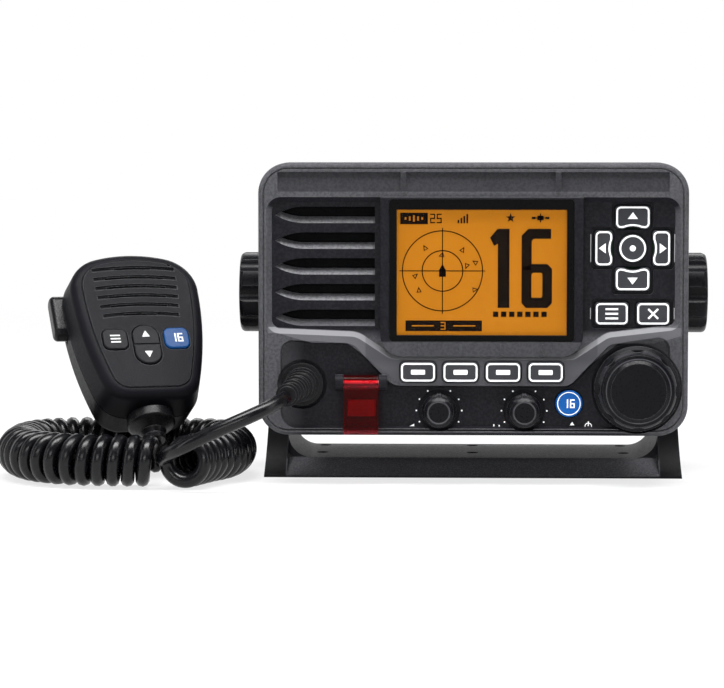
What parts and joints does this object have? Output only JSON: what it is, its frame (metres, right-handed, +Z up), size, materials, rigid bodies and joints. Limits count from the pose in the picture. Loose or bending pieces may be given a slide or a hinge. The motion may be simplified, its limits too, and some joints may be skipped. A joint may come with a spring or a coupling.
{
  "type": "vhf marine radio",
  "caption": "Fixed-mount marine VHF radio: amber display, keys, knobs and louvred speaker in a tilting bracket, with a fist handset on a curly cord.",
  "frame": {"origin": "centre of the bracket's screw pattern, on the surface it stands on", "axes": "+X to the right along the panel, +Y to the back, +Z up"},
  "size_m": [0.299, 0.1673, 0.1323],
  "materials": {
    "housing": "fine satin grain",
    "knob_plastic": "satin",
    "key_rubber": "matt with white line",
    "blue_key": "satin blue",
    "red_cover": "clear red",
    "red_key": "satin red",
    "window_glass": "polished",
    "screen": "amber backlit",
    "cast_metal": "powder coat",
    "bracket_metal": "textured powder coat",
    "steel": "stainless",
    "plated": "nickel plate",
    "seal_rubber": "matt",
    "cord_rubber": "satin",
    "circuit_board": "solder mask",
    "speaker_cone": "coated paper and steel",
    "mesh": "woven",
    "white_print": "printed marks"
  },
  "bodies": {
    "bracket": {"mounting_bracket": "bracket_metal", "coil_main": "cord_rubber"},
    "transceiver": {"front_bezel": "housing", "lens_window": "window_glass", "lcd_module": "screen", "key_board": "circuit_board", "speaker_mesh": "mesh", "speaker_driver": "speaker_cone", "cover_pin": "steel", "mic_grommet": "seal_rubber", "panel_gasket": "seal_rubber", "rear_chassis": "cast_metal", "main_board": "circuit_board", "chassis_screws": "steel", "aerial_socket": "plated", "power_gland": "seal_rubber", "data_gland": "seal_rubber", "friction_washers": "seal_rubber", "mic_lead": "cord_rubber"},
    "right_knob": {"right_knob": "knob_plastic", "right_stud": "steel"},
    "left_knob": {"left_knob": "knob_plastic", "left_stud": "steel"},
    "distress_cover": {"distress_cover": "red_cover"},
    "volume_knob": {"volume_knob": "knob_plastic", "volume_shaft": "steel"},
    "squelch_knob": {"squelch_knob": "knob_plastic", "squelch_shaft": "steel"},
    "dial_plunger": {"dial_plunger": "knob_plastic"},
    "channel_dial": {"channel_dial": "knob_plastic", "dial_shaft": "steel"},
    "handset": {"handset_front": "housing", "handset_rear": "housing", "handset_gasket": "seal_rubber", "handset_face": "housing", "handset_board": "circuit_board", "handset_speaker": "speaker_cone", "hang_button": "knob_plastic", "handset_screws": "steel", "handset_boot": "seal_rubber", "handset_tail": "cord_rubber", "coil_rising_end": "cord_rubber"},
    "handset_left_key": {"handset_left_key": "key_rubber"},
    "handset_blue_key": {"handset_blue_key": "blue_key"},
    "handset_rocker": {"handset_rocker": "key_rubber"},
    "talk_button": {"talk_button": "seal_rubber"},
    "softkey_1": {"softkey_1": "key_rubber"},
    "softkey_2": {"softkey_2": "key_rubber"},
    "softkey_3": {"softkey_3": "key_rubber"},
    "softkey_4": {"softkey_4": "key_rubber"},
    "up_key": {"up_key": "key_rubber"},
    "down_key": {"down_key": "key_rubber"},
    "left_key": {"left_key": "key_rubber"},
    "right_key": {"right_key": "key_rubber"},
    "enter_key": {"enter_key": "key_rubber"},
    "menu_key": {"menu_key": "key_rubber"},
    "clear_key": {"clear_key": "key_rubber"},
    "channel_key": {"channel_key": "blue_key"},
    "distress_key": {"distress_key": "red_key"}
  },
  "joints": [
    {"name": "tilt", "type": "hinge", "parent": "bracket", "child": "transceiver", "pos_m": [0, -0.0199, 0.0764], "axis": [1, 0, 0], "range_deg": [-15, 15], "deforming": ["mic_lead"]},
    {"name": "right_knob_turn", "type": "hinge", "parent": "transceiver", "child": "right_knob", "pos_m": [0, -0.0199, 0.0764], "axis": [1, 0, 0], "range_deg": [0, 360]},
    {"name": "left_knob_turn", "type": "hinge", "parent": "transceiver", "child": "left_knob", "pos_m": [0, -0.0199, 0.0764], "axis": [-1, 0, 0], "range_deg": [0, 360]},
    {"name": "distress_cover_swing", "type": "hinge", "parent": "transceiver", "child": "distress_cover", "pos_m": [-0.0457, -0.0793, 0.0425], "axis": [-1, 0, 0], "range_deg": [0, 110], "stiffness_Nm_per_rad": 0.004, "springref_deg": -11.46},
    {"name": "volume_turn", "type": "hinge", "parent": "transceiver", "child": "volume_knob", "pos_m": [-0.0138, -0.0779, 0.0307], "axis": [0, -1, 0], "range_deg": [-150, 150]},
    {"name": "squelch_turn", "type": "hinge", "parent": "transceiver", "child": "squelch_knob", "pos_m": [0.0211, -0.0779, 0.0307], "axis": [0, -1, 0], "range_deg": [-150, 150]},
    {"name": "dial_plunger_press", "type": "slide", "parent": "transceiver", "child": "dial_plunger", "axis": [0, 1, 0], "range_m": [0, 0.001], "stiffness_N_per_m": 1500},
    {"name": "channel_dial_turn", "type": "hinge", "parent": "dial_plunger", "child": "channel_dial", "pos_m": [0.0672, -0.0779, 0.04], "axis": [0, -1, 0], "continuous": true},
    {"name": "handset_lift", "type": "slide", "parent": "bracket", "child": "handset", "axis": [0, 0, 1], "range_m": [0, 0.12], "deforming": ["coil_rising_end", "handset_tail"]},
    {"name": "handset_left_key_press", "type": "slide", "parent": "handset", "child": "handset_left_key", "axis": [-0.2695, 0.7405, -0.6157], "range_m": [0, 0.0008], "stiffness_N_per_m": 600},
    {"name": "handset_blue_key_press", "type": "slide", "parent": "handset", "child": "handset_blue_key", "axis": [-0.2695, 0.7405, -0.6157], "range_m": [0, 0.0008], "stiffness_N_per_m": 600},
    {"name": "handset_rocker_rock", "type": "hinge", "parent": "handset", "child": "handset_rocker", "pos_m": [-0.13743, -0.05107, 0.05307], "axis": [0.9397, 0.342, 0], "range_deg": [-3, 3], "stiffness_Nm_per_rad": 0.5},
    {"name": "talk_button_press", "type": "slide", "parent": "handset", "child": "talk_button", "axis": [0.9397, 0.342, 0], "range_m": [0, 0.002], "stiffness_N_per_m": 800},
    {"name": "softkey_1_press", "type": "slide", "parent": "transceiver", "child": "softkey_1", "axis": [0, 1, 0], "range_m": [0, 0.001], "stiffness_N_per_m": 600},
    {"name": "softkey_2_press", "type": "slide", "parent": "transceiver", "child": "softkey_2", "axis": [0, 1, 0], "range_m": [0, 0.001], "stiffness_N_per_m": 600},
    {"name": "softkey_3_press", "type": "slide", "parent": "transceiver", "child": "softkey_3", "axis": [0, 1, 0], "range_m": [0, 0.001], "stiffness_N_per_m": 600},
    {"name": "softkey_4_press", "type": "slide", "parent": "transceiver", "child": "softkey_4", "axis": [0, 1, 0], "range_m": [0, 0.001], "stiffness_N_per_m": 600},
    {"name": "up_key_press", "type": "slide", "parent": "transceiver", "child": "up_key", "axis": [0, 1, 0], "range_m": [0, 0.001], "stiffness_N_per_m": 600},
    {"name": "down_key_press", "type": "slide", "parent": "transceiver", "child": "down_key", "axis": [0, 1, 0], "range_m": [0, 0.001], "stiffness_N_per_m": 600},
    {"name": "left_key_press", "type": "slide", "parent": "transceiver", "child": "left_key", "axis": [0, 1, 0], "range_m": [0, 0.001], "stiffness_N_per_m": 600},
    {"name": "right_key_press", "type": "slide", "parent": "transceiver", "child": "right_key", "axis": [0, 1, 0], "range_m": [0, 0.001], "stiffness_N_per_m": 600},
    {"name": "enter_key_press", "type": "slide", "parent": "transceiver", "child": "enter_key", "axis": [0, 1, 0], "range_m": [0, 0.001], "stiffness_N_per_m": 600},
    {"name": "menu_key_press", "type": "slide", "parent": "transceiver", "child": "menu_key", "axis": [0, 1, 0], "range_m": [0, 0.001], "stiffness_N_per_m": 600},
    {"name": "clear_key_press", "type": "slide", "parent": "transceiver", "child": "clear_key", "axis": [0, 1, 0], "range_m": [0, 0.001], "stiffness_N_per_m": 600},
    {"name": "channel_key_press", "type": "slide", "parent": "transceiver", "child": "channel_key", "axis": [0, 1, 0], "range_m": [0, 0.001], "stiffness_N_per_m": 600},
    {"name": "distress_key_press", "type": "slide", "parent": "transceiver", "child": "distress_key", "axis": [0, 1, 0], "range_m": [0, 0.001], "stiffness_N_per_m": 600}
  ]
}
